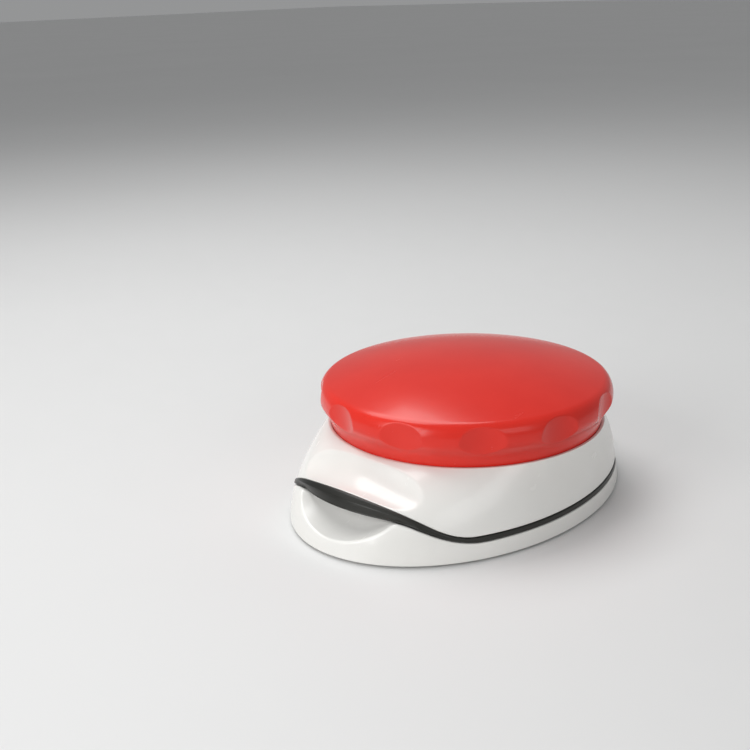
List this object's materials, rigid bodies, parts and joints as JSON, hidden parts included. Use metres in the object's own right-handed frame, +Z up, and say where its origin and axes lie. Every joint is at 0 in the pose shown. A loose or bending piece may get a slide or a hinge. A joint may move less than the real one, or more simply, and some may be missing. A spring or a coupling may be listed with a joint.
{
  "type": "patty press",
  "caption": "Domestic patty press: oval two-part shell with a rear hinge, round scalloped push-down presser, thin lift-out tray and a front grip with a finger scoop.",
  "frame": {"origin": "on the resting plane under the feet, under the middle of the whole press; the press axis stands 3.65 mm behind it, at Y = +3.65 mm", "axes": "+Z up along the press axis, -Y towards the front grip, +Y towards the hinge, +X to the right as seen from behind the grip looking at the hinge"},
  "size_m": [0.1224, 0.1639, 0.0582],
  "materials": {
    "white_gloss": "glossy warm white moulded plastic",
    "white_matte": "satin warm white moulded plastic",
    "red_gloss": "glossy bright red moulded plastic",
    "red_satin": "satin red moulded plastic",
    "black_satin": "satin charcoal black moulded plastic",
    "foot_rubber": "soft dark grey rubber",
    "steel": "plain zinc plated steel"
  },
  "bodies": {
    "base": {"base_shell": "white_gloss", "base_plate": "white_matte", "foot_front_left": "foot_rubber", "foot_front_right": "foot_rubber", "foot_rear_left": "foot_rubber", "foot_rear_right": "foot_rubber", "base_screws": "steel", "hinge_pin": "steel"},
    "lid": {"lid_shell": "white_gloss", "chamber_ring": "white_matte", "ring_screws": "steel"},
    "presser": {"presser_cap": "red_gloss", "plunger_cup": "red_satin"},
    "tray": {"patty_tray": "black_satin"}
  },
  "joints": [
    {"name": "lid_hinge", "type": "hinge", "parent": "base", "child": "lid", "pos_m": [0, 0.07885, 0.0085], "axis": [-1, 0, 0], "range_deg": [0, 95]},
    {"name": "presser_lift", "type": "slide", "parent": "lid", "child": "presser", "axis": [0, 0, 1], "range_m": [0, 0.045]},
    {"name": "tray_lift", "type": "hinge", "parent": "base", "child": "tray", "pos_m": [0, 0.07885, 0.0085], "axis": [-1, 0, 0], "range_deg": [0, 28.5]}
  ],
  "couplings": [
    {"joint": "tray_lift", "follows": "lid_hinge", "ratio": 0.3}
  ]
}
